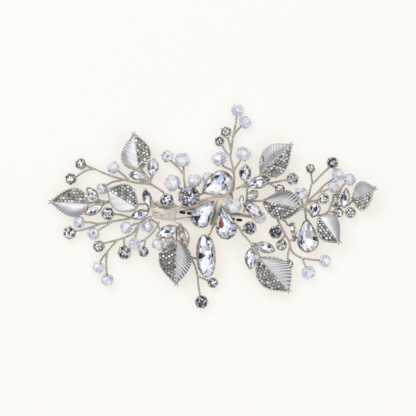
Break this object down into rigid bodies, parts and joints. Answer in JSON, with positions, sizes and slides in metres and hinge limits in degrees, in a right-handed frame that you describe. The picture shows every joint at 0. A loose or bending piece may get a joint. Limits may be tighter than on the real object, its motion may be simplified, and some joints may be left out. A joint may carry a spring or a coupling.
{
  "type": "bridal hair clip",
  "caption": "Slotted metal hair clip under a low spray of twisted wire stems with cast leaves, claw-set glass stones and cut glass beads.",
  "frame": {"origin": "centre of the jaw's resting face, at the bottom of the clip", "axes": "+X along the spray, +Y towards the spray's longer side with the upright stem, +Z out of the decorated side"},
  "size_m": [0.1466, 0.092, 0.0126],
  "materials": {
    "clip_metal": "satin silver tone",
    "binding_wire": "fine champagne wire, satin",
    "stem_wire": "twisted champagne wire, satin",
    "leaf_metal": "bright cast silver tone",
    "setting_metal": "bright silver tone",
    "stone_glass": "clear foiled glass stone",
    "bead_glass": "pale lavender cut glass"
  },
  "bodies": {
    "root": {"clip_plate": "clip_metal", "clip_jaw": "clip_metal", "core_bundle": "binding_wire", "winding_left": "binding_wire", "winding_right": "binding_wire", "stem_top": "stem_wire", "stem_centre_up": "stem_wire", "stem_upper_left": "stem_wire", "stem_left": "stem_wire", "stem_lower_left": "stem_wire", "stem_near_left": "stem_wire", "stem_bottom": "stem_wire", "stem_lower_middle": "stem_wire", "stem_right": "stem_wire", "stem_lower_right": "stem_wire", "stem_right_upper": "stem_wire", "leaf_1": "leaf_metal", "leaf_2": "leaf_metal", "leaf_3": "leaf_metal", "leaf_4": "leaf_metal", "leaf_5": "leaf_metal", "leaf_6": "leaf_metal", "leaf_7": "leaf_metal", "leaf_8": "leaf_metal", "leaf_9": "leaf_metal", "drop_stone_1": "stone_glass", "drop_stone_2": "stone_glass", "drop_stone_3": "stone_glass", "drop_stone_4": "stone_glass", "oval_stone": "stone_glass", "round_stone": "stone_glass", "drop_setting_1": "setting_metal", "drop_setting_2": "setting_metal", "drop_setting_3": "setting_metal", "drop_setting_4": "setting_metal", "oval_setting": "setting_metal", "round_setting": "setting_metal", "navette_stone_1": "stone_glass", "navette_stone_2": "stone_glass", "navette_stone_3": "stone_glass", "navette_stone_4": "stone_glass", "navette_stone_5": "stone_glass", "navette_stone_6": "stone_glass", "navette_stone_7": "stone_glass", "navette_stone_8": "stone_glass", "navette_stone_9": "stone_glass", "navette_stone_10": "stone_glass", "navette_stone_11": "stone_glass", "navette_stone_12": "stone_glass", "navette_stone_13": "stone_glass", "navette_stone_14": "stone_glass", "navette_stone_15": "stone_glass", "navette_stone_16": "stone_glass", "navette_stone_17": "stone_glass", "navette_stone_18": "stone_glass", "navette_settings": "setting_metal", "cup_settings": "setting_metal", "cup_stones": "stone_glass", "beads": "bead_glass"}
  },
  "joints": []
}
